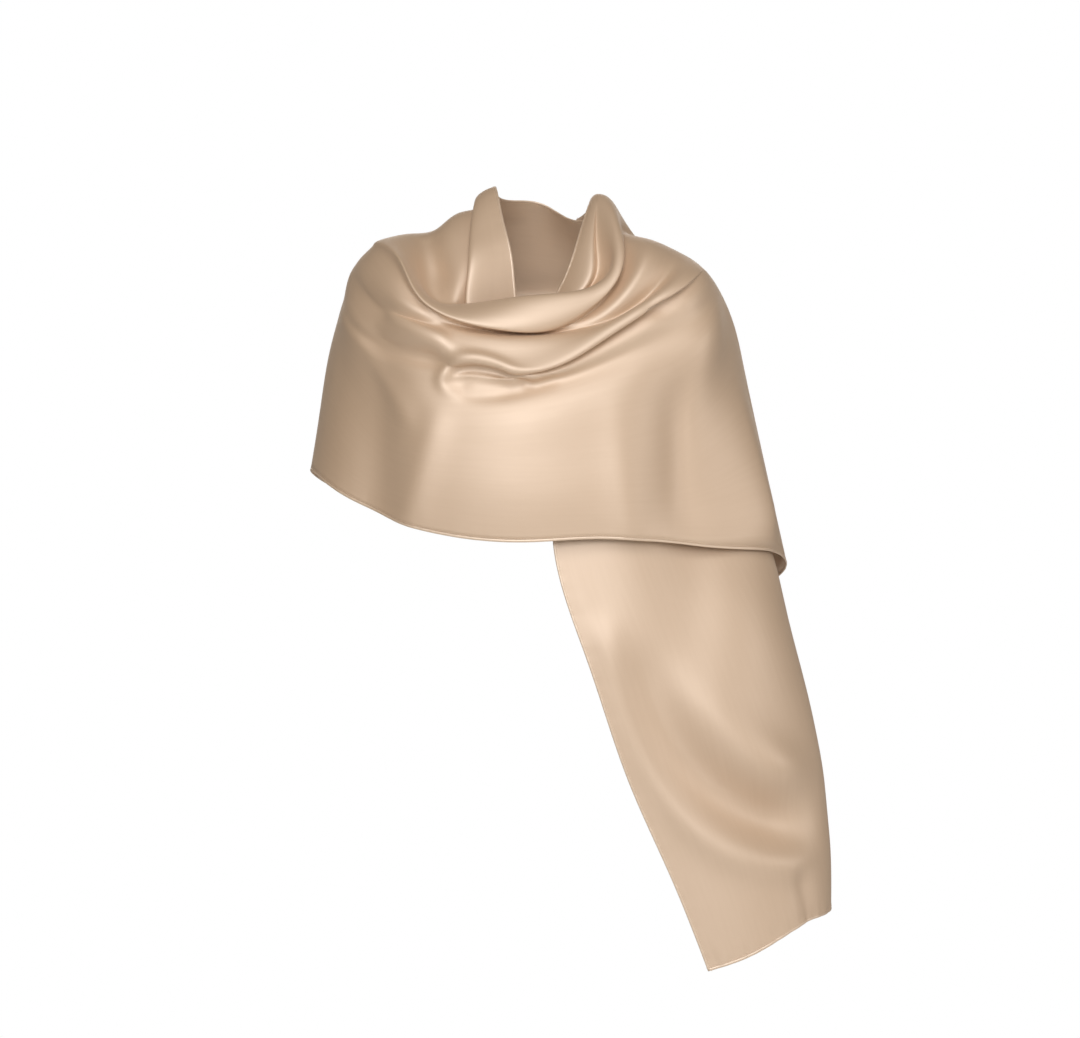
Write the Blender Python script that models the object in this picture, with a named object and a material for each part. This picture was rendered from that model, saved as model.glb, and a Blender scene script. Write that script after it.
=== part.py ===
"""Evening stole: one hemmed rectangle of satin, wound round the shoulders.

Lengths in the tables are millimetres. X runs to the wearer's left, Y to the back and Z up,
from the middle of the neck base on the shoulder line.
"""

import bpy
import numpy as np

MM = 0.001
WALL = 1.2
SIDE_BLEND = 50
SEAM_GAP = 0.3
RIDGE_GAP = 0.7

# Knots of the curves lie apart by a power of the distance between their points.
POINT_POWER = 0.5
STATION_POWER = 0.7
RISE_POWER = 0.8
LEAST_STEP = 0.5
PATH_STEPS = 81
BOW_STEPS = 33

SATIN_COLOUR = (0.69, 0.55, 0.42, 1.0)
SATIN_ROUGHNESS = 0.38

# How far out of its full depth each station of a fold line lies, from side to side of the front.
STATION_DEPTH = (0.0, 0.60, 0.88, 1.0, 0.94, 0.73, 0.0)

# How much of a line's right, middle and left depth each station has.
DEPTH_SHARES = ((1, 0, 0), (1, 0, 0), (0.9, 0.1, 0), (0, 1, 0), (0, 0.35, 0.65), (0, 0, 1), (0, 0, 1))

# A row is one line along the cloth, from the neck edge out to the hem: how far it stands in
# front of the shoulder line at the right, in the middle and at the left, then (across, height)
# a station.
STATIONS = ("right_side", "right_front", "middle_right", "middle", "middle_left", "left_front", "left_side")
DEPTHS = ("right_depth", "middle_depth", "left_depth")
FOLD_COLUMNS = ("name",) + DEPTHS + STATIONS
FOLD_LINES = (
    ("neck_edge", 74, 62, 68,
     (-45, 61), (-36, 20), (-27, -22), (-16, -86), (20, -44), (37, 2), (52, 48)),
    ("inner_face", 86, 72, 80,
     (-55, 58), (-53, 14), (-48, -28), (-34, -92), (28, -48), (45, 0), (56, 53)),
    ("inner_crest", 95, 84, 87,
     (-66, 48), (-71, 5), (-73, -34), (-58, -90), (38, -54), (54, -4), (60, 54)),
    ("inner_valley", 78, 79, 78,
     (-63, 40), (-67, 2), (-69, -40), (-56, -100), (42, -54), (57, -2), (62, 54)),
    ("outer_crest", 84, 92, 92,
     (-84, 34), (-85, -10), (-83, -47), (-62, -94), (54, -47), (68, -2), (68, 52)),
    ("band_top", 83, 111, 116,
     (-106, 19), (-114, -20), (-101, -60), (-27, -58), (54, -47), (78, -8), (76, 44)),
    ("band_face", 119, 127, 118,
     (-138, 13), (-133, -20), (-108, -60), (-30, -75), (58, -58), (84, -12), (82, 32)),
    ("band_foot", 134, 130, 116,
     (-167, 4), (-143, -15), (-117, -62), (-38, -91), (36, -80), (82, -22), (85, 22)),
    ("band_tuck", 121, 124, 107,
     (-170, 1), (-147, -20), (-119, -62), (-38, -91), (43, -78), (84, -24), (86, 16)),
    ("side_roll", 126, 111, 119,
     (-179, -7), (-160, -40), (-125, -70), (-34, -94), (64, -76), (106, -18), (114, 4)),
    ("side_valley", 119, 125, 105,
     (-187, -16), (-165, -56), (-123, -80), (-30, -98), (79, -77), (128, -30), (147, -9)),
    ("swag_face", 134, 137, 128,
     (-194, -28), (-157, -74), (-114, -96), (-22, -118), (74, -82), (138, -38), (164, -20)),
    ("swag_foot", 136, 144, 133,
     (-199, -46), (-166, -94), (-110, -114), (-12, -133), (70, -97), (146, -45), (172, -29)),
    ("swag_tuck", 133, 135, 119,
     (-201, -58), (-166, -104), (-111, -121), (-10, -134), (70, -94), (147, -43), (176, -34)),
    ("small_fold", 134, 136, 124,
     (-203, -66), (-169, -112), (-112, -131), (-12, -139), (74, -106), (152, -58), (181, -40)),
    ("small_fold_foot", 135, 131, 122,
     (-205, -76), (-171, -120), (-113, -142), (-14, -145), (77, -118), (156, -76), (187, -54)),
    ("upper_chest", 138, 138, 131,
     (-207, -88), (-174, -140), (-113, -168), (-18, -166), (79, -140), (164, -100), (191, -72)),
    ("chest", 141, 141, 137,
     (-213, -116), (-175, -180), (-111, -206), (-18, -210), (76, -200), (166, -170), (200, -116)),
    ("lower_chest", 139, 139, 137,
     (-223, -172), (-179, -226), (-110, -248), (-18, -256), (74, -253), (166, -242), (220, -202)),
    ("hem", 131, 131, 131,
     (-234, -230), (-184, -266), (-110, -292), (-18, -302), (72, -299), (164, -307), (246, -316)),
)

# Share of the way from the neck edge to the hem that each fold line has where the cloth is smooth.
SMOOTH_SHARE = (
    0, .03, .06, .09, .13, .17, .21, .25, .28, .32,
    .36, .40, .44, .46, .49, .53, .60, .72, .86, 1,
)

# Sections behind the shoulders. Each has four points, (across, back, height), of a smooth curve.
BACK_POINTS = ("neck", "shoulder", "blade", "hem")
BACK_COLUMNS = ("name",) + BACK_POINTS
BACK_SECTIONS = (
    ("left_ridge_under", (60, 2, 20), (114, 6, -28), (170, 10, -64), (190, 16, -150)),
    ("left_back_under", (38, 36, 30), (78, 56, -18), (150, 80, -74), (174, 80, -240)),
    ("middle_back", (0, 60, 50), (0, 88, 6), (0, 116, -90), (0, 106, -285)),
    ("right_back", (-42, 38, 54), (-92, 74, 4), (-180, 102, -64), (-206, 86, -250)),
)
OVER_SECTIONS = (
    ("left_back_over", (50, 46, 42), (90, 78, -8), (172, 102, -68), (226, 92, -350)),
    ("end_hem", (38, 76, 34), (62, 102, 0), (100, 132, -90), (122, 124, -366)),
)

# Sections of the front fall from its end hem up to the shoulder, from the neck edge of the cloth
# to its outer edge: (across, back, height) of six points.
FALL_POINTS = ("inner_edge", "front", "front_of_arm", "outside", "behind_arm", "outer_edge")
FALL_COLUMNS = ("name",) + FALL_POINTS
FALL_SECTIONS = (
    ("end_hem", (169, -84, -733), (216, -84, -716), (270, -60, -687),
     (298, -8, -677), (272, 44, -655), (186, 76, -628)),
    ("low_fold", (132, -92, -640), (194, -92, -617), (264, -64, -597),
     (295, -6, -584), (262, 48, -572), (176, 78, -552)),
    ("knee_of_fold", (88, -102, -540), (166, -100, -520), (240, -70, -500),
     (281, -4, -490), (246, 50, -480), (166, 76, -466)),
    ("elbow", (47, -114, -420), (132, -110, -405), (220, -74, -392),
     (255, -2, -384), (230, 50, -378), (156, 70, -370)),
    ("wrap_hem", (13, -112, -301), (104, -104, -297), (190, -64, -296),
     (232, -2, -296), (208, 44, -296), (150, 58, -300)),
    ("ribs", (26, -104, -200), (90, -100, -208), (162, -62, -214),
     (202, -6, -222), (196, 34, -232), (172, 54, -242)),
    ("collarbone", (56, -64, -84), (92, -70, -100), (140, -50, -112),
     (176, -18, -130), (190, -6, -154), (192, 16, -190)),
)

# Soft ridges (over 0) and troughs. Each runs from one place past a second to a third, all as
# (across, height), on the front or the back of the cloth it names, and its height goes evenly
# from that at its start to that at its end.
SOFT_COLUMNS = ("name", "cloth", "side", "start", "past", "end", "width", "from", "to")
SOFT_FOLDS = (
    ("right_arm_turn", "wound", "front", (-180, -120), (-164, -190), (-176, -290), 30, -14, -14),
    ("chest_right_edge", "wound", "front", (-102, -175), (-112, -210), (-132, -285), 17, 4, 4),
    ("chest_left_edge", "wound", "front", (80, -160), (80, -210), (92, -300), 18, 6, 5),
    ("left_arm_trough", "wound", "front", (136, -150), (152, -210), (158, -300), 25, -19, -16),
    ("left_arm_ridge", "wound", "front", (190, -120), (203, -200), (222, -300), 20, 8, 11),
    ("right_shoulder_hollow", "wound", "front", (-128, 14), (-124, -12), (-110, -42), 13, -7, -5),
    ("left_dimple", "wound", "front", (108, -66), (126, -76), (146, -70), 11, -3, -3),
    ("pocket_rim_end", "wound", "front", (-60, -160), (-124, -152), (-82, -121), 6, 0, 5),
    ("pocket_rim_top", "wound", "front", (-82, -121), (-58, -114), (-30, -131), 6, 5, 4),
    ("pocket_rim_tail", "wound", "front", (-30, -131), (-12, -141), (14, -133), 6, 4, 0),
    ("pocket_under", "wound", "front", (-88, -134), (-64, -122), (-10, -145), 4, -3, -4),
    ("pocket_hollow", "wound", "front", (-86, -143), (-66, -137), (-30, -146), 10, -5, -3),
    ("pocket_light", "wound", "front", (-74, -150), (-58, -143), (-40, -150), 6, 1, 1),
    ("pocket_foot", "wound", "front", (-80, -155), (-44, -164), (16, -140), 6, -2, -2),
    ("right_bump", "wound", "front", (-150, -74), (-126, -92), (-92, -102), 9, 4, 4),
    ("right_hollow", "wound", "front", (-166, -90), (-150, -114), (-100, -119), 10, -4, -4),
    ("nape_swag", "wound", "back", (-128, -6), (-6, -66), (96, -20), 15, 6, 6),
    ("blade_swag", "wound", "back", (-178, -40), (-30, -150), (120, -60), 20, 6, 6),
    ("back_flute_right", "wound", "back", (-120, -140), (-132, -190), (-128, -262), 17, 6, 6),
    ("back_flute_middle", "wound", "back", (-34, -170), (-42, -220), (-48, -290), 18, 5, 5),
    ("back_flute_left", "wound", "back", (172, -90), (178, -200), (170, -350), 16, 5, 5),
    ("fall_arm_trough", "fall", "front", (154, -190), (160, -280), (150, -430), 34, -9, -6),
    ("fall_ridge", "fall", "front", (46, -360), (80, -640), (300, -642), 25, 8, 12),
    ("fall_trough", "fall", "front", (104, -420), (140, -582), (300, -596), 19, -9, -14),
    ("fall_back_flute", "fall", "back", (196, -330), (226, -470), (216, -640), 18, 7, 7),
)

# The wound stretches in turn: the station where each begins, and how many pieces it is cut in.
WOUND_STRETCHES = (("back", 1.0, 16), ("front_wrap", 4.45, 44), ("back_fall", 11.5, 8))
END_HEM = 13

# How many pieces each step from one fold line to the next is cut in.
LEVEL_PIECES = (1, 2, 2, 2, 2, 2, 2, 2, 2, 2, 2, 2, 2, 1, 1, 2, 2, 2, 3)

FALL_RISES = 28
FALL_SHARES = 20


def clear_scene():
    for thing in list(bpy.data.objects):
        bpy.data.objects.remove(thing, do_unlink=True)


def named(columns, rows):
    """The rows of a table as dictionaries, by the names of its columns."""
    return [dict(zip(columns, row)) for row in rows]


def spline(knots, values, at):
    """Natural cubic spline through values at knots, one row a knot, read at the places given."""
    knots = np.asarray(knots, float)
    values = np.asarray(values, float)
    count = len(knots)
    step = np.diff(knots)
    slope = np.diff(values, axis=0) / step[:, None]
    system = np.eye(count)
    right = np.zeros_like(values)
    for i in range(1, count - 1):
        system[i, i - 1] = step[i - 1]
        system[i, i] = 2 * (step[i - 1] + step[i])
        system[i, i + 1] = step[i]
        right[i] = 6 * (slope[i] - slope[i - 1])
    bend = np.linalg.solve(system, right)
    at = np.clip(at, knots[0], knots[-1])
    span = np.clip(np.searchsorted(knots, at, side="right") - 1, 0, count - 2)
    ahead = ((at - knots[span]) / step[span])[:, None]
    behind = 1 - ahead
    square = (step[span] ** 2)[:, None] / 6
    curve = behind * values[span] + ahead * values[span + 1]
    return curve + square * ((behind ** 3 - behind) * bend[span] + (ahead ** 3 - ahead) * bend[span + 1])


def even_knots(points, power=POINT_POWER):
    """Knots for a spline through points, spaced by a power of the distances between them."""
    far = np.linalg.norm(np.diff(np.asarray(points, float), axis=0), axis=1)
    knots = np.concatenate([[0], np.cumsum(np.maximum(far, LEAST_STEP) ** power)])
    return knots / knots[-1]


def path_through(section, columns, shares):
    """Points at the given shares of the way along a smooth curve through a section's points."""
    points = [section[column] for column in columns]
    fine = np.linspace(0, 1, PATH_STEPS)
    curve = spline(even_knots(points), points, fine)
    travelled = np.concatenate([[0], np.cumsum(np.linalg.norm(np.diff(curve, axis=0), axis=1))])
    travelled /= travelled[-1]
    return np.stack([np.interp(shares, travelled, curve[:, axis]) for axis in range(3)], axis=1)


def front_station(number):
    """One place across the front: where each fold line runs there, as (across, back, height)."""
    rows = []
    for line in named(FOLD_COLUMNS, FOLD_LINES):
        across, height = line[STATIONS[number]]
        depth = sum(share * line[depth] for share, depth in zip(DEPTH_SHARES[number], DEPTHS))
        rows.append((across, -depth * STATION_DEPTH[number], height))
    return np.array(rows, float)


def normals_of(cloth):
    """Unit normals of a grid of points, out of the figure."""
    down = np.gradient(cloth, axis=0)
    along = np.gradient(cloth, axis=1)
    normal = np.cross(down, along)
    return normal / np.linalg.norm(normal, axis=2, keepdims=True)


def bowed(start, past, end):
    """Points of a curve that leaves start, bows towards past and ends at end."""
    at = np.linspace(0, 1, BOW_STEPS)[:, None]
    ends = (1 - at) ** 2 * np.array(start) + at ** 2 * np.array(end)
    return ends + 2 * at * (1 - at) * np.array(past)


def soft_folds(cloth, kind):
    """The cloth with its soft ridges and troughs, each fading at its ends and sides."""
    lift = np.zeros(cloth.shape[:2])
    facing = -cloth[:, :, 1] / SIDE_BLEND
    for fold in named(SOFT_COLUMNS, SOFT_FOLDS):
        if fold["cloth"] != kind:
            continue
        line = bowed(fold["start"], fold["past"], fold["end"])
        middles = (line[1:] + line[:-1]) / 2
        weights = np.linalg.norm(np.diff(line, axis=0), axis=1) / (fold["width"] * np.sqrt(np.pi))
        weights *= np.linspace(fold["from"], fold["to"], len(weights))
        apart = np.linalg.norm(cloth[:, :, None, ::2] - middles, axis=3)
        strength = (weights * np.exp(-((apart / fold["width"]) ** 2))).sum(axis=2)
        shown = np.clip(0.5 + (facing if fold["side"] == "front" else -facing), 0, 1)
        lift += strength * shown
    return cloth + normals_of(cloth) * lift[:, :, None]


def wound_stations():
    """Every section of the wound part in turn: from the top of the fall across the back, round
    the front, and over."""
    collarbone = named(FALL_COLUMNS, FALL_SECTIONS)[-1]
    start = [path_through(collarbone, FALL_POINTS, SMOOTH_SHARE)]
    behind = [path_through(row, BACK_POINTS, SMOOTH_SHARE) for row in named(BACK_COLUMNS, BACK_SECTIONS)]
    front = [front_station(number) for number in range(len(STATION_DEPTH))]
    over = [path_through(row, BACK_POINTS, SMOOTH_SHARE) for row in named(BACK_COLUMNS, OVER_SECTIONS)]
    return np.array(start + behind + front + over)


def wound_cloth(places, levels):
    """Middle surface of the wound part. places are stations, levels are fold lines, both counted
    from 0 and split as finely as wanted. The result is levels by places by three."""
    stations = wound_stations()
    steps = np.linalg.norm(np.diff(stations, axis=0), axis=2).mean(axis=1) ** STATION_POWER
    knots = np.concatenate([[0], np.cumsum(steps)])
    where = np.interp(places, np.arange(len(knots)), knots)
    lines = np.stack([spline(knots, stations[:, k], where) for k in range(stations.shape[1])])
    cloth = np.empty((len(levels), len(places), 3))
    for column in range(len(places)):
        across = even_knots(lines[:, column])
        at = np.interp(levels, np.arange(len(across)), across)
        cloth[:, column] = spline(across, lines[:, column], at)
    return soft_folds(cloth, "wound")


def fall_cloth(rises, shares):
    """Middle surface of the front fall, from its end hem (0) up to the shoulder ridge."""
    fall = named(FALL_COLUMNS, FALL_SECTIONS)
    ridge = named(BACK_COLUMNS, BACK_SECTIONS[:2])
    sections = [path_through(row, FALL_POINTS, shares) for row in fall]
    sections += [path_through(row, BACK_POINTS, shares) for row in ridge]
    sections = np.array(sections)
    knots = even_knots(sections.mean(axis=1), RISE_POWER)
    where = np.interp(rises, np.arange(len(knots)), knots)
    cloth = np.stack([spline(knots, sections[:, k], where) for k in range(len(shares))])
    return soft_folds(cloth, "fall")


def split(counts):
    """Levels from 0 on, each whole step split into its own number of pieces."""
    marks = [0]
    for step, count in enumerate(counts):
        marks += [step + (piece + 1) / count for piece in range(count)]
    return np.array(marks, float)


def cell_triangles(cloth, i, j):
    """The two triangles of a cell of the grid, cut along its shorter diagonal."""
    ring = [(i, j), (i + 1, j), (i + 1, j + 1), (i, j + 1)]
    if np.linalg.norm(cloth[ring[0]] - cloth[ring[2]]) > np.linalg.norm(cloth[ring[1]] - cloth[ring[3]]):
        ring = ring[1:] + ring[:1]
    return (ring[:3], [ring[2], ring[3], ring[0]])


def rim_triangles(here, after, under, columns):
    """Two triangles of the rim, cut the same way on both sides of a seam."""
    if here // columns <= after // columns:
        return [[here, after, after + under], [here, after + under, here + under]]
    return [[here, after, here + under], [after, after + under, here + under]]


def wall_mesh(name, cloth, normals, wall):
    """A closed wall of even thickness round a grid of points."""
    rows, columns = cloth.shape[:2]
    away = normals * wall / 2
    points = np.concatenate([(cloth + away).reshape(-1, 3), (cloth - away).reshape(-1, 3)]) * MM
    number = np.arange(rows * columns).reshape(rows, columns)
    under = rows * columns
    faces = []
    for i in range(rows - 1):
        for j in range(columns - 1):
            for corners in cell_triangles(cloth, i, j):
                outside = [int(number[corner]) for corner in corners]
                faces.append(outside)
                faces.append([corner + under for corner in reversed(outside)])
    edge = list(number[0, :-1]) + list(number[:-1, -1]) + list(number[-1, :0:-1]) + list(number[:0:-1, 0])
    for here, after in zip(edge, edge[1:] + edge[:1]):
        faces += rim_triangles(int(here), int(after), under, columns)
    mesh = bpy.data.meshes.new(name)
    mesh.from_pydata(points.tolist(), [], faces)
    mesh.shade_smooth()
    return mesh


def satin(name):
    material = bpy.data.materials.new(name)
    material.use_nodes = True
    shader = material.node_tree.nodes["Principled BSDF"]
    shader.inputs["Base Color"].default_value = SATIN_COLOUR
    shader.inputs["Roughness"].default_value = SATIN_ROUGHNESS
    shader.inputs["Metallic"].default_value = 0.0
    return material


def add_stretch(name, cloth, normals):
    mesh = wall_mesh(name, cloth, normals, WALL)
    mesh.materials.append(satin(name + "_satin"))
    stretch = bpy.data.objects.new(name, mesh)
    bpy.context.scene.collection.objects.link(stretch)
    return stretch


def drawn_in(cloth, at_start, at_end, gap=SEAM_GAP):
    """The grid with its first or last column drawn in by half the gap at a seam."""
    cloth = cloth.copy()
    for wanted, edge, inner in ((at_start, 0, 1), (at_end, -1, -2)):
        if wanted:
            inward = cloth[:, inner] - cloth[:, edge]
            inward /= np.linalg.norm(inward, axis=1, keepdims=True)
            cloth[:, edge] += inward * gap / 2
    return cloth


def add_wound_stretches():
    """Cuts the wound cloth at its seams, so that the stretches share one surface."""
    marks = [mark for _, mark, _ in WOUND_STRETCHES] + [END_HEM]
    places = [np.array([marks[0]], float)]
    for (_, _, pieces), start, end in zip(WOUND_STRETCHES, marks, marks[1:]):
        places.append(np.linspace(start, end, pieces + 1)[1:])
    cloth = wound_cloth(np.concatenate(places), split(LEVEL_PIECES))
    normals = normals_of(cloth)
    first = 0
    for name, _, pieces in WOUND_STRETCHES:
        last = first + pieces
        part = drawn_in(cloth[:, first:last + 1], True, name != WOUND_STRETCHES[-1][0])
        add_stretch(name, part, normals[:, first:last + 1])
        first = last


def add_front_fall():
    rises = np.linspace(0, len(FALL_SECTIONS), FALL_RISES + 1)
    cloth = fall_cloth(rises, np.linspace(0, 1, FALL_SHARES + 1))
    add_stretch("front_fall", drawn_in(cloth, False, True, RIDGE_GAP), normals_of(cloth))


def main():
    clear_scene()
    add_wound_stretches()
    add_front_fall()


main()
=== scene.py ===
import math

import bpy
import numpy as np
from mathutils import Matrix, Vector


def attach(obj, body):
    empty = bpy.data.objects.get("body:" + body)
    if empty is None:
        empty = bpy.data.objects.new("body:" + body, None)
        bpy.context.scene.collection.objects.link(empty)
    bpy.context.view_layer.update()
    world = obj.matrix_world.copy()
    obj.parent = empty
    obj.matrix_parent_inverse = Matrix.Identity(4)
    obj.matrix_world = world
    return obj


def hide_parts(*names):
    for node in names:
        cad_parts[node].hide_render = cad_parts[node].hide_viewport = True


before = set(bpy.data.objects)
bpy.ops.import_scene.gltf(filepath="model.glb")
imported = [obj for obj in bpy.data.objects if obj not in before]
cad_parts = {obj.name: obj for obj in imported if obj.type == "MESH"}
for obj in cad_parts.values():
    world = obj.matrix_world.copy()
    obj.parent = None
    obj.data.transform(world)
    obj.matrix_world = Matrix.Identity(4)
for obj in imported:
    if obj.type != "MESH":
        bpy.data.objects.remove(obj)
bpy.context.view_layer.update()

# the drape, in millimetres, in the same tables as the CAD part

stationDepth = (0.0, 0.60, 0.88, 1.0, 0.94, 0.73, 0.0)
# how much of its right, middle and left depth a line has at each station
stationShares = ((1, 0, 0), (1, 0, 0), (0.9, 0.1, 0), (0, 1, 0), (0, 0.35, 0.65), (0, 0, 1), (0, 0, 1))
stations = ("rightSide", "rightFront", "middleRight", "middle", "middleLeft", "leftFront", "leftSide")
foldColumns = ("name", "rightDepth", "middleDepth", "leftDepth") + stations
foldLines = (
    ("neckEdge", 74, 62, 68, (-45, 61), (-36, 20), (-27, -22), (-16, -86), (20, -44), (37, 2), (52, 48)),
    ("innerFace", 86, 72, 80, (-55, 58), (-53, 14), (-48, -28), (-34, -92),
     (28, -48), (45, 0), (56, 53)),
    ("innerCrest", 95, 84, 87, (-66, 48), (-71, 5), (-73, -34), (-58, -90),
     (38, -54), (54, -4), (60, 54)),
    ("innerValley", 78, 79, 78, (-63, 40), (-67, 2), (-69, -40), (-56, -100),
     (42, -54), (57, -2), (62, 54)),
    ("outerCrest", 84, 92, 92, (-84, 34), (-85, -10), (-83, -47), (-62, -94),
     (54, -47), (68, -2), (68, 52)),
    ("bandTop", 83, 111, 116, (-106, 19), (-114, -20), (-101, -60), (-27, -58),
     (54, -47), (78, -8), (76, 44)),
    ("bandFace", 119, 127, 118, (-138, 13), (-133, -20), (-108, -60), (-30, -75),
     (58, -58), (84, -12), (82, 32)),
    ("bandFoot", 134, 130, 116, (-167, 4), (-143, -15), (-117, -62), (-38, -91),
     (36, -80), (82, -22), (85, 22)),
    ("bandTuck", 121, 124, 107, (-170, 1), (-147, -20), (-119, -62), (-38, -91),
     (43, -78), (84, -24), (86, 16)),
    ("sideRoll", 126, 111, 119, (-179, -7), (-160, -40), (-125, -70), (-34, -94),
     (64, -76), (106, -18), (114, 4)),
    ("sideValley", 119, 125, 105, (-187, -16), (-165, -56), (-123, -80), (-30, -98),
     (79, -77), (128, -30), (147, -9)),
    ("swagFace", 134, 137, 128, (-194, -28), (-157, -74), (-114, -96), (-22, -118),
     (74, -82), (138, -38), (164, -20)),
    ("swagFoot", 136, 144, 133, (-199, -46), (-166, -94), (-110, -114), (-12, -133),
     (70, -97), (146, -45), (172, -29)),
    ("swagTuck", 133, 135, 119, (-201, -58), (-166, -104), (-111, -121), (-10, -134),
     (70, -94), (147, -43), (176, -34)),
    ("smallFold", 134, 136, 124, (-203, -66), (-169, -112), (-112, -131), (-12, -139),
     (74, -106), (152, -58), (181, -40)),
    ("smallFoldFoot", 135, 131, 122, (-205, -76), (-171, -120), (-113, -142), (-14, -145),
     (77, -118), (156, -76), (187, -54)),
    ("upperChest", 138, 138, 131, (-207, -88), (-174, -140), (-113, -168), (-18, -166),
     (79, -140), (164, -100), (191, -72)),
    ("chest", 141, 141, 137, (-213, -116), (-175, -180), (-111, -206), (-18, -210),
     (76, -200), (166, -170), (200, -116)),
    ("lowerChest", 139, 139, 137, (-223, -172), (-179, -226), (-110, -248), (-18, -256),
     (74, -253), (166, -242), (220, -202)),
    ("hem", 131, 131, 131, (-234, -230), (-184, -266), (-110, -292), (-18, -302),
     (72, -299), (164, -307), (246, -316)),
)
# where the fold lines start on the back, as shares of the way from neck to hem
smoothShare = (0, .03, .06, .09, .13, .17, .21, .25, .28, .32,
               .36, .40, .44, .46, .49, .53, .60, .72, .86, 1)

backPoints = ("neck", "shoulder", "blade", "hem")
backSections = (
    ("leftRidgeUnder", (60, 2, 20), (114, 6, -28), (170, 10, -64), (190, 16, -150)),
    ("leftBackUnder", (38, 36, 30), (78, 56, -18), (150, 80, -74), (174, 80, -240)),
    ("middleBack", (0, 60, 50), (0, 88, 6), (0, 116, -90), (0, 106, -285)),
    ("rightBack", (-42, 38, 54), (-92, 74, 4), (-180, 102, -64), (-206, 86, -250)),
)
overSections = (
    ("leftBackOver", (50, 46, 42), (90, 78, -8), (172, 102, -68), (226, 92, -350)),
    ("endHem", (38, 76, 34), (62, 102, 0), (100, 132, -90), (122, 124, -366)),
)
fallPoints = ("innerEdge", "front", "frontOfArm", "outside", "behindArm", "outerEdge")
fallSections = (
    ("endHem", (169, -84, -733), (216, -84, -716), (270, -60, -687),
     (298, -8, -677), (272, 44, -655), (186, 76, -628)),
    ("lowFold", (132, -92, -640), (194, -92, -617), (264, -64, -597),
     (295, -6, -584), (262, 48, -572), (176, 78, -552)),
    ("kneeOfFold", (88, -102, -540), (166, -100, -520), (240, -70, -500),
     (281, -4, -490), (246, 50, -480), (166, 76, -466)),
    ("elbow", (47, -114, -420), (132, -110, -405), (220, -74, -392),
     (255, -2, -384), (230, 50, -378), (156, 70, -370)),
    ("wrapHem", (13, -112, -301), (104, -104, -297), (190, -64, -296),
     (232, -2, -296), (208, 44, -296), (150, 58, -300)),
    ("ribs", (26, -104, -200), (90, -100, -208), (162, -62, -214),
     (202, -6, -222), (196, 34, -232), (172, 54, -242)),
    ("collarbone", (56, -64, -84), (92, -70, -100), (140, -50, -112),
     (176, -18, -130), (190, -6, -154), (192, 16, -190)),
)

# soft ridges (height over 0) and troughs (under 0): each is a bow seen from the front, on one side of
# one cloth, with its width, and its height at the start and at the end
creaseColumns = ("name", "cloth", "side", "start", "past", "end", "width", "from", "to")
creases = (
    ("rightArmTurn", "wound", "front", (-180, -120), (-164, -190), (-176, -290), 30, -14, -14),
    ("chestRightEdge", "wound", "front", (-102, -175), (-112, -210), (-132, -285), 17, 4, 4),
    ("chestLeftEdge", "wound", "front", (76, -160), (80, -210), (92, -300), 18, 1, 4),
    ("leftArmTrough", "wound", "front", (150, -130), (155, -200), (153, -300), 41, -29, -28),
    ("leftArmRidge", "wound", "front", (204, -140), (214, -200), (230, -300), 20, 8, 16),
    ("rightShoulderHollow", "wound", "front", (-118, 16), (-114, -12), (-102, -42), 13, -9, -6),
    ("leftDimple", "wound", "front", (108, -66), (126, -76), (146, -70), 11, -3, -3),
    ("pocketRimEnd", "wound", "front", (-60, -160), (-124, -152), (-82, -121), 6, 0, 5),
    ("pocketRimTop", "wound", "front", (-82, -121), (-58, -114), (-30, -131), 6, 5, 4),
    ("pocketRimTail", "wound", "front", (-30, -131), (-12, -141), (14, -133), 6, 4, 0),
    ("pocketUnder", "wound", "front", (-88, -134), (-64, -122), (-10, -145), 4, -3, -4),
    ("pocketHollow", "wound", "front", (-86, -143), (-66, -137), (-30, -146), 10, -5, -3),
    ("pocketLight", "wound", "front", (-74, -150), (-58, -143), (-40, -150), 6, 1, 1),
    ("pocketFoot", "wound", "front", (-80, -155), (-44, -164), (16, -140), 6, -2, -2),
    ("rightBump", "wound", "front", (-150, -74), (-126, -92), (-92, -102), 9, 5, 6),
    ("rightHollow", "wound", "front", (-172, -88), (-152, -114), (-100, -120), 10, -6, -6),
    ("rightArmEdge", "wound", "front", (-202, -64), (-172, -124), (-128, -186), 10, 3, 2),
    ("napeSwag", "wound", "back", (-128, -6), (-6, -66), (96, -20), 15, 6, 6),
    ("bladeSwag", "wound", "back", (-178, -40), (-30, -150), (120, -60), 20, 6, 6),
    ("backFluteRight", "wound", "back", (-120, -140), (-132, -190), (-128, -262), 17, 6, 6),
    ("backFluteMiddle", "wound", "back", (-34, -170), (-42, -220), (-48, -290), 18, 5, 5),
    ("backFluteLeft", "wound", "back", (172, -90), (178, -200), (170, -350), 16, 5, 5),
    ("fallArmTrough", "fall", "front", (154, -170), (158, -280), (152, -430), 44, -26, -6),
    ("fallOverhang", "fall", "front", (166, -452), (200, -512), (254, -542), 28, 3, 20),
    ("fallRidge", "fall", "front", (64, -386), (126, -640), (266, -624), 19, 4, 9),
    ("fallTrough", "fall", "front", (98, -424), (140, -566), (262, -588), 28, -8, -23),
    ("fallCornerDip", "fall", "front", (262, -636), (272, -664), (276, -700), 9, -4, -2),
    ("fallBackFlute", "fall", "back", (196, -330), (226, -470), (216, -640), 18, 7, 7),
)


def named(columns, rows):
    return [dict(zip(columns, row)) for row in rows]


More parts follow.
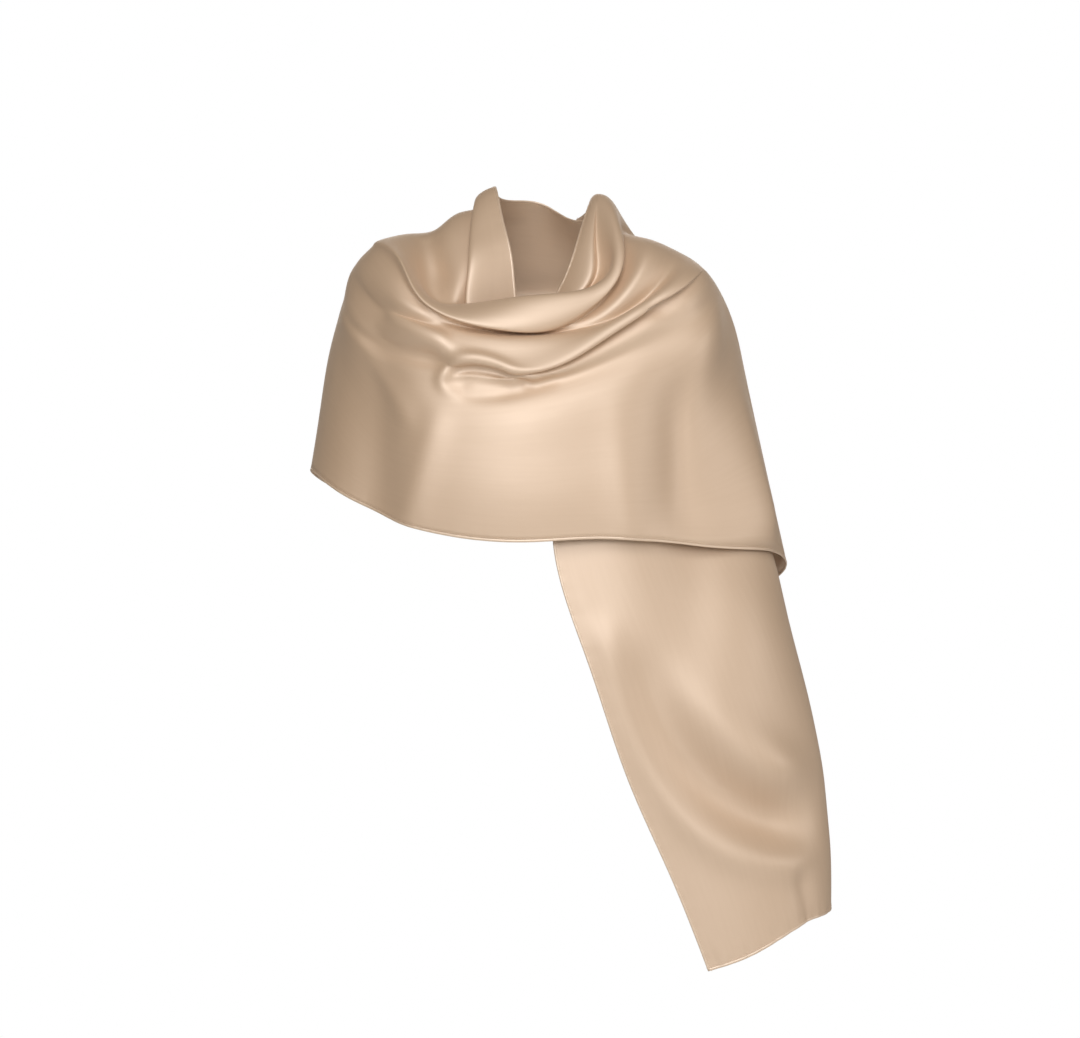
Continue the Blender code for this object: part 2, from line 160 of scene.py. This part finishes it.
def spline(knots, values, at):
    # natural cubic through one row of values a knot
    knots, values = np.asarray(knots, float), np.asarray(values, float)
    count, step = len(knots), np.diff(knots)
    slope = np.diff(values, axis=0) / step[:, None]
    system, right = np.eye(count), np.zeros_like(values)
    for i in range(1, count - 1):
        system[i, i - 1:i + 2] = step[i - 1], 2 * (step[i - 1] + step[i]), step[i]
        right[i] = 6 * (slope[i] - slope[i - 1])
    bend = np.linalg.solve(system, right)
    at = np.clip(at, knots[0], knots[-1])
    span = np.clip(np.searchsorted(knots, at, side="right") - 1, 0, count - 2)
    ahead = ((at - knots[span]) / step[span])[:, None]
    behind, square = 1 - ahead, (step[span] ** 2)[:, None] / 6
    curve = behind * values[span] + ahead * values[span + 1]
    return curve + square * ((behind ** 3 - behind) * bend[span] + (ahead ** 3 - ahead) * bend[span + 1])


def evenKnots(points, power=0.5):
    # the square root of each distance, so that a long span next to a short one doesn't overshoot
    far = np.linalg.norm(np.diff(np.asarray(points, float), axis=0), axis=1)
    knots = np.concatenate([[0], np.cumsum(np.maximum(far, 0.5) ** power)])
    return knots / knots[-1]


def pathThrough(section, columns, shares):
    # points at the given shares of the way along a smooth path through the section
    points = [section[column] for column in columns]
    curve = spline(evenKnots(points), points, np.linspace(0, 1, 81))
    travelled = np.concatenate([[0], np.cumsum(np.linalg.norm(np.diff(curve, axis=0), axis=1))])
    travelled /= travelled[-1]
    return np.stack([np.interp(shares, travelled, curve[:, axis]) for axis in range(3)], axis=1)


def frontStation(number):
    # one point a fold line, from the neck edge to the hem, at one station across the front
    rows = []
    for line in named(foldColumns, foldLines):
        across, height = line[stations[number]]
        depths = line["rightDepth"], line["middleDepth"], line["leftDepth"]
        depth = sum(share * depth for share, depth in zip(stationShares[number], depths))
        rows.append((across, -depth * stationDepth[number], height))
    return np.array(rows, float)


def normalsOf(cloth):
    normal = np.cross(np.gradient(cloth, axis=0), np.gradient(cloth, axis=1))
    return normal / np.linalg.norm(normal, axis=2, keepdims=True)


def bowed(start, past, end, count=33):
    at = np.linspace(0, 1, count)[:, None]
    return (1 - at) ** 2 * np.array(start) + 2 * at * (1 - at) * np.array(past) + at ** 2 * np.array(end)


def creased(cloth, kind):
    lift = np.zeros(cloth.shape[:2])
    facing = -cloth[:, :, 1] / 50
    for fold in named(creaseColumns, creases):
        if fold["cloth"] != kind:
            continue
        line, width = bowed(fold["start"], fold["past"], fold["end"]), fold["width"]
        weights = np.linalg.norm(np.diff(line, axis=0), axis=1) / (width * math.sqrt(math.pi))
        weights *= np.linspace(fold["from"], fold["to"], len(weights))
        strength = np.zeros(cloth.shape[:2])
        for middle, weight in zip((line[1:] + line[:-1]) / 2, weights):
            apart = (cloth[:, :, 0] - middle[0]) ** 2 + (cloth[:, :, 2] - middle[1]) ** 2
            strength += weight * np.exp(-apart / width ** 2)
        shown = np.clip(0.5 + (facing if fold["side"] == "front" else -facing), 0, 1)
        lift += strength * shown
    return cloth + normalsOf(cloth) * lift[:, :, None]


def pathsThrough(sections, shares):
    return [pathThrough(row, backPoints, shares) for row in named(("name",) + backPoints, sections)]


def woundCloth(places, levels):
    collarbone = named(("name",) + fallPoints, fallSections)[-1]
    rows = [pathThrough(collarbone, fallPoints, smoothShare)]
    rows += pathsThrough(backSections, smoothShare)
    rows += [frontStation(number) for number in range(len(stations))]
    rows += pathsThrough(overSections, smoothShare)
    rows = np.array(rows)
    steps = np.linalg.norm(np.diff(rows, axis=0), axis=2).mean(axis=1) ** 0.7
    knots = np.concatenate([[0], np.cumsum(steps)])
    where = np.interp(places, np.arange(len(knots)), knots)
    lines = np.stack([spline(knots, rows[:, k], where) for k in range(rows.shape[1])])
    cloth = np.empty((len(levels), len(places), 3))
    for column in range(len(places)):
        across = evenKnots(lines[:, column])
        at = np.interp(levels, np.arange(len(across)), across)
        cloth[:, column] = spline(across, lines[:, column], at)
    return creased(cloth, "wound")


def fallCloth(rises, shares):
    rows = [pathThrough(row, fallPoints, shares) for row in named(("name",) + fallPoints, fallSections)]
    rows += pathsThrough(backSections[:2], shares)
    rows = np.array(rows)
    knots = evenKnots(rows.mean(axis=1), 0.8)
    where = np.interp(rises, np.arange(len(knots)), knots)
    cloth = np.stack([spline(knots, rows[:, k], where) for k in range(len(shares))])
    return creased(cloth, "fall")


# materials

satinLook = {
    "colour": (0.612, 0.438, 0.298),
    "shade": (0.570, 0.400, 0.262),
    "roughness": 0.55,
    "threadsPerMetre": 2600,
    "weaveDepth": 0.10,
}
# the rolled hem and its stitches: the same satin painted lighter and paler than the cloth, a painted
# highlight along the edges
hemHighlightLook = {
    "colour": (0.70, 0.53, 0.385),
    "shade": (0.64, 0.48, 0.345),
    "roughness": 0.46,
    "threadsPerMetre": 2600,
    "weaveDepth": 0.16,
}


# what both the cloth and its hem have
satinShine = {
    "Metallic": 0.2,
    "IOR": 2.1,
    "Specular IOR Level": 1.0,
    "Sheen Weight": 0.10,
    "Sheen Roughness": 0.45,
    "Sheen Tint": (1.0, 0.93, 0.86, 1.0),
}
weaveSettings = {
    "threadStretch": 0.14,
    "slubScale": 260.0,
    "slubStretch": 0.06,
    "patchScale": 7.0,
    "slubTint": 0.45,
    "slubRoughness": 0.06,
    "slubHeight": 0.5,
    "bumpDistance": 0.0004,
}


def link(tree, source, target):
    tree.links.new(source, target)


def makeWeaveGroup():
    # warp and weft threads from the cloth's own flat coordinates, with soft slubs and dye variation
    group = bpy.data.node_groups.new("satinWeave", "ShaderNodeTree")
    for name, kind, value in (
        ("Colour", "NodeSocketColor", (1, 1, 1, 1)),
        ("Shade", "NodeSocketColor", (1, 1, 1, 1)),
        ("Roughness", "NodeSocketFloat", 0.45),
        ("Threads", "NodeSocketFloat", 2600.0),
        ("Depth", "NodeSocketFloat", 0.1),
    ):
        group.interface.new_socket(name, in_out="INPUT", socket_type=kind).default_value = value
    group.interface.new_socket("Base Color", in_out="OUTPUT", socket_type="NodeSocketColor")
    group.interface.new_socket("Roughness", in_out="OUTPUT", socket_type="NodeSocketFloat")
    group.interface.new_socket("Normal", in_out="OUTPUT", socket_type="NodeSocketVector")
    nodes = group.nodes
    given, out = nodes.new("NodeGroupInput"), nodes.new("NodeGroupOutput")
    flat = nodes.new("ShaderNodeUVMap")
    flat.uv_map = "flat"
    stretch = nodes.new("ShaderNodeVectorMath")
    stretch.operation = "MULTIPLY"
    stretch.inputs[1].default_value = (1.0, weaveSettings["threadStretch"], 1.0)
    link(group, flat.outputs["UV"], stretch.inputs[0])
    threads = nodes.new("ShaderNodeTexNoise")
    threads.inputs["Detail"].default_value = 1.5
    threads.inputs["Roughness"].default_value = 0.6
    link(group, stretch.outputs["Vector"], threads.inputs["Vector"])
    link(group, given.outputs["Threads"], threads.inputs["Scale"])
    slubs = nodes.new("ShaderNodeTexNoise")
    slubs.inputs["Scale"].default_value = weaveSettings["slubScale"]
    slubs.inputs["Detail"].default_value = 3.0
    across = nodes.new("ShaderNodeVectorMath")
    across.operation = "MULTIPLY"
    across.inputs[1].default_value = (weaveSettings["slubStretch"], 1.0, 1.0)
    link(group, flat.outputs["UV"], across.inputs[0])
    link(group, across.outputs["Vector"], slubs.inputs["Vector"])
    patches = nodes.new("ShaderNodeTexNoise")
    patches.inputs["Scale"].default_value = weaveSettings["patchScale"]
    patches.inputs["Detail"].default_value = 2.0
    link(group, flat.outputs["UV"], patches.inputs["Vector"])
    blend = nodes.new("ShaderNodeMath")
    blend.operation = "MULTIPLY_ADD"
    blend.inputs[1].default_value = weaveSettings["slubTint"]
    link(group, slubs.outputs["Fac"], blend.inputs[0])
    link(group, patches.outputs["Fac"], blend.inputs[2])
    tint = nodes.new("ShaderNodeMapRange")
    tint.inputs["From Min"].default_value = 0.45
    tint.inputs["From Max"].default_value = 1.0
    link(group, blend.outputs["Value"], tint.inputs["Value"])
    mix = nodes.new("ShaderNodeMix")
    mix.data_type = "RGBA"
    link(group, tint.outputs["Result"], mix.inputs["Factor"])
    link(group, given.outputs["Colour"], mix.inputs["A"])
    link(group, given.outputs["Shade"], mix.inputs["B"])
    link(group, mix.outputs["Result"], out.inputs["Base Color"])
    rough = nodes.new("ShaderNodeMath")
    rough.operation = "MULTIPLY_ADD"
    rough.inputs[1].default_value = weaveSettings["slubRoughness"]
    link(group, slubs.outputs["Fac"], rough.inputs[0])
    link(group, given.outputs["Roughness"], rough.inputs[2])
    link(group, rough.outputs["Value"], out.inputs["Roughness"])
    both = nodes.new("ShaderNodeMath")
    both.operation = "MULTIPLY_ADD"
    both.inputs[1].default_value = weaveSettings["slubHeight"]
    link(group, slubs.outputs["Fac"], both.inputs[0])
    link(group, threads.outputs["Fac"], both.inputs[2])
    bump = nodes.new("ShaderNodeBump")
    bump.inputs["Distance"].default_value = weaveSettings["bumpDistance"]
    link(group, given.outputs["Depth"], bump.inputs["Strength"])
    link(group, both.outputs["Value"], bump.inputs["Height"])
    link(group, bump.outputs["Normal"], out.inputs["Normal"])
    return group


def makeSatin(name, look, weave):
    material = bpy.data.materials.new(name)
    material.use_nodes = True
    tree = material.node_tree
    shader = tree.nodes["Principled BSDF"]
    for socket, value in satinShine.items():
        shader.inputs[socket].default_value = value
    group = tree.nodes.new("ShaderNodeGroup")
    group.node_tree = weave
    group.inputs["Colour"].default_value = look["colour"] + (1.0,)
    group.inputs["Shade"].default_value = look["shade"] + (1.0,)
    group.inputs["Roughness"].default_value = look["roughness"]
    group.inputs["Threads"].default_value = look["threadsPerMetre"]
    group.inputs["Depth"].default_value = look["weaveDepth"]
    for socket in ("Base Color", "Roughness", "Normal"):
        link(tree, group.outputs[socket], shader.inputs[socket])
    return material


weave = makeWeaveGroup()
satin = makeSatin("satin", satinLook, weave)
# the hem material carries the painted highlight: its colours are lighter and paler than the cloth's
hemHighlightSatin = makeSatin("hemHighlightSatin", hemHighlightLook, weave)
print("materials: satin and hem satin")

# the two stretches of cloth

# thickness in metres, and the depth in millimetres of the gathers at each edge
wrapSettings = {
    "piecesPerLine": 7,
    "thickness": 0.0008,
    "gathers": {"first": 0.25, "last": 0.3, "end": 0.7},
}
fallSettings = {
    "rises": 210,
    "lines": 150,
    "thickness": 0.0008,
    "gathers": {"start": 0.9, "first": 0.3, "last": 0.3},
}


def flatCoordinates(cloth):
    # how far each point lies along and across the flat cloth, in metres
    along = np.linalg.norm(np.diff(cloth, axis=1), axis=2).mean(axis=0)
    across = np.linalg.norm(np.diff(cloth, axis=0), axis=2).mean(axis=1)
    return (np.concatenate([[0], np.cumsum(along)]) / 1000, np.concatenate([[0], np.cumsum(across)]) / 1000)


def sheetObject(name, cloth, material, thickness):
    rows, columns = cloth.shape[:2]
    number = np.arange(rows * columns).reshape(rows, columns)
    corners = number[:-1, :-1], number[1:, :-1], number[1:, 1:], number[:-1, 1:]
    faces = np.stack(corners, axis=-1).reshape(-1, 4)
    mesh = bpy.data.meshes.new(name)
    mesh.from_pydata((cloth.reshape(-1, 3) / 1000).tolist(), [], faces.tolist())
    along, across = flatCoordinates(cloth)
    flat = np.stack(np.broadcast_arrays(along[None, :], across[:, None]), axis=-1).reshape(-1, 2)
    corner = np.empty(len(mesh.loops), np.int32)
    mesh.loops.foreach_get("vertex_index", corner)
    mesh.uv_layers.new(name="flat").data.foreach_set("uv", flat[corner].ravel())
    mesh.shade_smooth()
    mesh.materials.append(material)
    sheet = bpy.data.objects.new(name, mesh)
    bpy.context.scene.collection.objects.link(sheet)
    solid = sheet.modifiers.new("thickness", "SOLIDIFY")
    solid.thickness = thickness
    solid.offset = 0
    return sheet


def split(count, pieces):
    return np.linspace(0, count, count * pieces + 1)


gatherSettings = {"every": 14.0, "width": 3.4, "reach": 17.0}


def fromEdge(grid, edge):
    # the same grid, turned so that the named edge is its first row
    if edge == "first":
        return grid
    if edge == "last":
        return grid[::-1]
    if edge == "start":
        return grid.transpose(1, 0, 2)
    return grid[:, ::-1].transpose(1, 0, 2)


def gathered(cloth, edge, depth, settings):
    # the small uneven puckers that a hem's stitches pull into the cloth along one edge
    result = cloth.copy()
    shown, normal = fromEdge(result, edge), fromEdge(normalsOf(cloth), edge)
    along = np.concatenate([[0], np.cumsum(np.linalg.norm(np.diff(shown[0], axis=0), axis=1))])
    steps = np.linalg.norm(np.diff(shown, axis=0), axis=2)
    inward = np.concatenate([np.zeros((1, len(along))), np.cumsum(steps, axis=0)])
    lift = np.zeros(inward.shape)
    for number in range(int(along[-1] / settings["every"])):
        centre = (number + 0.5 + 0.33 * math.sin(7.3 * number + 1.0)) * settings["every"]
        size = depth * (0.3 + 0.7 * math.sin(5.1 * number + 2.0) ** 2)
        reach = settings["reach"] * (0.7 + 0.3 * math.cos(3.7 * number))
        narrow = np.exp(-(((along - centre) / settings["width"]) ** 2))
        lift -= size * narrow * np.exp(-((inward / reach) ** 2))
    shown += normal * lift[:, :, None]
    return result


# the back, the front with its folds, and the stretch behind the left shoulder
wrapPlaces = np.concatenate([
    np.linspace(1.0, 4.4, 90)[:-1],
    np.linspace(4.4, 11.2, 190)[:-1],
    np.linspace(11.2, 13.0, 52),
])
wrapMap = woundCloth(wrapPlaces, split(len(foldLines) - 1, wrapSettings["piecesPerLine"]))
for edge, depth in wrapSettings["gathers"].items():
    wrapMap = gathered(wrapMap, edge, depth, gatherSettings)
wrap = sheetObject("wrap", wrapMap, satin, wrapSettings["thickness"])
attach(wrap, "root")
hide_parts("back", "front_wrap", "back_fall")
print("wrap:", wrapMap.shape)

fallRises = np.linspace(0, len(fallSections), fallSettings["rises"])
fallMap = fallCloth(fallRises, np.linspace(0, 1, fallSettings["lines"]))
for edge, depth in fallSettings["gathers"].items():
    fallMap = gathered(fallMap, edge, depth, gatherSettings)
fall = sheetObject("fall", fallMap, satin, fallSettings["thickness"])
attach(fall, "root")
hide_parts("front_fall")
print("fall:", fallMap.shape)

# the rolled hem round the edges, and its stitches

# millimetres
hemSettings = {
    "width": 3.0,
    "height": 1.5,
    "step": 2.5,
    "sides": 10,
    "overlap": 0.3,
    "pucker": 0.25,
    "puckerLength": 9.0,
}


def resampled(line, extra, step):
    travelled = np.concatenate([[0], np.cumsum(np.linalg.norm(np.diff(line, axis=0), axis=1))])
    marks = np.linspace(0, travelled[-1], max(4, int(travelled[-1] / step)))
    evenly = [
        np.stack([np.interp(marks, travelled, values[:, axis]) for axis in range(3)], axis=1)
        for values in (line,) + extra
    ]
    return evenly, marks


def hemTube(name, edge, inner, normal, settings):
    # a flattened tube along one edge, a little uneven where the stitches draw it in
    (edge, inner, normal), marks = resampled(edge, (inner, normal), settings["step"])
    inward = inner - edge
    inward -= (inward * normal).sum(axis=1, keepdims=True) * normal
    inward /= np.linalg.norm(inward, axis=1, keepdims=True)
    normal = normal / np.linalg.norm(normal, axis=1, keepdims=True)
    phase = marks / settings["puckerLength"] * 2 * math.pi + 1.7 * np.sin(marks / 61.0)
    wave = np.sin(phase) * settings["pucker"]
    turns = np.linspace(0, 2 * math.pi, settings["sides"] + 1)[:-1]
    half, high = settings["width"] / 2, settings["height"] / 2
    rings = []
    for k in range(len(marks)):
        centre = edge[k] + inward[k] * (half - settings["overlap"])
        wide, tall = inward[k] * half, normal[k] * (high + wave[k] * 0.5)
        rings.append([centre + wide * math.cos(turn) + tall * math.sin(turn) for turn in turns])
    rings = np.array(rings)
    count, around = rings.shape[:2]
    number = np.arange(count * around).reshape(count, around)
    after = np.roll(number, -1, axis=1)
    faces = np.stack([number[:-1], after[:-1], after[1:], number[1:]], axis=-1).reshape(-1, 4).tolist()
    faces += [number[0, ::-1].tolist(), number[-1].tolist()]
    mesh = bpy.data.meshes.new(name)
    mesh.from_pydata((rings.reshape(-1, 3) / 1000).tolist(), [], faces)
    flat = np.stack(np.broadcast_arrays(marks[:, None] / 1000, turns[None, :] / 1000), axis=-1).reshape(-1, 2)
    corner = np.empty(len(mesh.loops), np.int32)
    mesh.loops.foreach_get("vertex_index", corner)
    mesh.uv_layers.new(name="flat").data.foreach_set("uv", flat[corner].ravel())
    mesh.shade_smooth()
    mesh.materials.append(hemHighlightSatin)
    hem = bpy.data.objects.new(name, mesh)
    bpy.context.scene.collection.objects.link(hem)
    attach(hem, "root")
    return hem


# millimetres
stitchSettings = {"every": 2.9, "length": 2.1, "thick": 0.34, "inset": 3.5, "lift": 0.42}
# the corners of a box, as signs along, across and off the cloth
boxCorners = (
    (-1, -1, -1), (-1, 1, -1), (-1, 1, 1), (-1, -1, 1),
    (1, -1, -1), (1, 1, -1), (1, 1, 1), (1, -1, 1),
)
boxFaces = ((0, 1, 2, 3), (7, 6, 5, 4), (0, 4, 5, 1), (1, 5, 6, 2), (2, 6, 7, 3), (3, 7, 4, 0))


def stitchLine(edge, inner, normal, settings):
    # corners of a small bar for each stitch, on both faces of the cloth
    (edge, inner, normal), _ = resampled(edge, (inner, normal), settings["every"])
    normal = normal / np.linalg.norm(normal, axis=1, keepdims=True)
    inward = inner - edge
    inward -= (inward * normal).sum(axis=1, keepdims=True) * normal
    inward /= np.linalg.norm(inward, axis=1, keepdims=True)
    place = edge + inward * settings["inset"]
    along = np.gradient(place, axis=0)
    along /= np.linalg.norm(along, axis=1, keepdims=True)
    bars = []
    for face in (1, -1):
        middle = place + normal * settings["lift"] * face
        for ahead, across, off in boxCorners:
            reach = along * ahead * settings["length"] + (inward * across + normal * off) * settings["thick"]
            bars.append(middle + reach / 2)
    return np.stack(bars, axis=1).reshape(-1, 3)


def stitchMesh(name, lines):
    corners = np.concatenate(lines)
    boxes = np.arange(len(corners) // 8)[:, None, None] * 8
    faces = (boxes + np.array(boxFaces)).reshape(-1, 4)
    mesh = bpy.data.meshes.new(name)
    mesh.from_pydata((corners / 1000).tolist(), [], faces.tolist())
    mesh.uv_layers.new(name="flat")
    mesh.materials.append(hemHighlightSatin)
    stitches = bpy.data.objects.new(name, mesh)
    bpy.context.scene.collection.objects.link(stitches)
    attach(stitches, "root")
    return stitches


wrapNormals, fallNormals = normalsOf(wrapMap), normalsOf(fallMap)
hems = [
    hemTube("hemNeck", wrapMap[0], wrapMap[3], wrapNormals[0], hemSettings),
    hemTube("hemWrap", wrapMap[-1], wrapMap[-4], wrapNormals[-1], hemSettings),
    hemTube("hemBackEnd", wrapMap[:, -1], wrapMap[:, -4], wrapNormals[:, -1], hemSettings),
    hemTube("hemFallEnd", fallMap[:, 0], fallMap[:, 3], fallNormals[:, 0], hemSettings),
    hemTube("hemFallInner", fallMap[0], fallMap[3], fallNormals[0], hemSettings),
    hemTube("hemFallOuter", fallMap[-1], fallMap[-4], fallNormals[-1], hemSettings),
]
wrapStitches = stitchMesh("wrapStitches", [
    stitchLine(wrapMap[0], wrapMap[3], wrapNormals[0], stitchSettings),
    stitchLine(wrapMap[-1], wrapMap[-4], wrapNormals[-1], stitchSettings),
    stitchLine(wrapMap[:, -1], wrapMap[:, -4], wrapNormals[:, -1], stitchSettings),
])
fallStitches = stitchMesh("fallStitches", [
    stitchLine(fallMap[:, 0], fallMap[:, 3], fallNormals[:, 0], stitchSettings),
    stitchLine(fallMap[0], fallMap[3], fallNormals[0], stitchSettings),
    stitchLine(fallMap[-1], fallMap[-4], fallNormals[-1], stitchSettings),
])
stitchCount = (len(wrapStitches.data.vertices) + len(fallStitches.data.vertices)) // 8
print("hems:", len(hems), "stitches:", stitchCount)

# floor, light and camera

stageSettings = {
    "floorDrop": 1.36,
    "floorRadius": 3.4,
    "floorSides": 96,
    "floorColour": (0.86, 0.86, 0.85, 1),
    "background": 1.0,
    "ambient": 0.18,
    "ambientColour": (1.0, 0.85, 0.67, 1),
}


def makeFloor():
    mesh = bpy.data.meshes.new("floor")
    sides, radius = stageSettings["floorSides"], stageSettings["floorRadius"]
    low = -stageSettings["floorDrop"]
    turns = [2 * math.pi * k / sides for k in range(sides)]
    rim = [(radius * math.cos(turn), radius * math.sin(turn), low) for turn in turns]
    mesh.from_pydata(rim, [], [list(range(sides))])
    material = bpy.data.materials.new("paleFloor")
    material.use_nodes = True
    shader = material.node_tree.nodes["Principled BSDF"]
    shader.inputs["Base Color"].default_value = stageSettings["floorColour"]
    shader.inputs["Roughness"].default_value = 0.8
    mesh.materials.append(material)
    floor = bpy.data.objects.new("floor", mesh)
    bpy.context.scene.collection.objects.link(floor)
    return floor


makeFloor()

world = bpy.data.worlds.new("studio")
world.use_nodes = True
bpy.context.scene.world = world
worldTree = world.node_tree
plain = worldTree.nodes["Background"]
plain.inputs["Color"].default_value = stageSettings["ambientColour"]
plain.inputs["Strength"].default_value = stageSettings["ambient"]
seen = worldTree.nodes.new("ShaderNodeBackground")
seen.inputs["Color"].default_value = (1.0, 1.0, 1.0, 1)
seen.inputs["Strength"].default_value = stageSettings["background"]
rays = worldTree.nodes.new("ShaderNodeLightPath")
choose = worldTree.nodes.new("ShaderNodeMixShader")
link(worldTree, rays.outputs["Is Camera Ray"], choose.inputs["Fac"])
link(worldTree, plain.outputs["Background"], choose.inputs[1])
link(worldTree, seen.outputs["Background"], choose.inputs[2])
link(worldTree, choose.outputs["Shader"], worldTree.nodes["World Output"].inputs["Surface"])

# metres and watts
lightColumns = ("name", "place", "aim", "size", "power", "colour")
lights = (
    ("key", (-0.3, -3.3, 0.5), (0.0, 0.0, -0.3), 1.6, 58.0, (1.0, 0.985, 0.96)),
    ("above", (0.1, -2.5, 1.9), (0.0, 0.0, -0.2), 1.6, 34.0, (1.0, 0.98, 0.95)),
    ("right", (2.9, -1.2, 0.1), (0.0, 0.0, -0.3), 1.8, 17.0, (1.0, 0.98, 0.955)),
    ("rear", (0.0, 3.2, 0.6), (0.0, 0.0, -0.3), 2.4, 40.0, (1.0, 0.98, 0.96)),
)
for light in named(lightColumns, lights):
    data = bpy.data.lights.new(light["name"], "AREA")
    data.shape, data.size = "DISK", light["size"]
    data.energy, data.color = light["power"], light["colour"]
    lamp = bpy.data.objects.new(light["name"], data)
    lamp.location = light["place"]
    ahead = Vector(light["aim"]) - Vector(light["place"])
    lamp.rotation_euler = ahead.to_track_quat("-Z", "Y").to_euler()
    bpy.context.scene.collection.objects.link(lamp)

# metres: where the camera stands, and how wide the frame is at the front of the cloth
cameraSettings = {"away": 4.0, "height": -0.279, "sensor": 36, "frameWidth": 1.08, "frameAway": 3.9}
cameraData = bpy.data.cameras.new("camera")
cameraData.sensor_width = cameraSettings["sensor"]
cameraData.lens = cameraSettings["sensor"] * cameraSettings["frameAway"] / cameraSettings["frameWidth"]
camera = bpy.data.objects.new("camera", cameraData)
camera.location = (0, -cameraSettings["away"], cameraSettings["height"])
camera.rotation_euler = (math.radians(90), 0, 0)
bpy.context.scene.collection.objects.link(camera)
bpy.context.scene.camera = camera
bpy.context.scene.view_settings.view_transform = "Standard"
print("stage: floor, lights and camera")
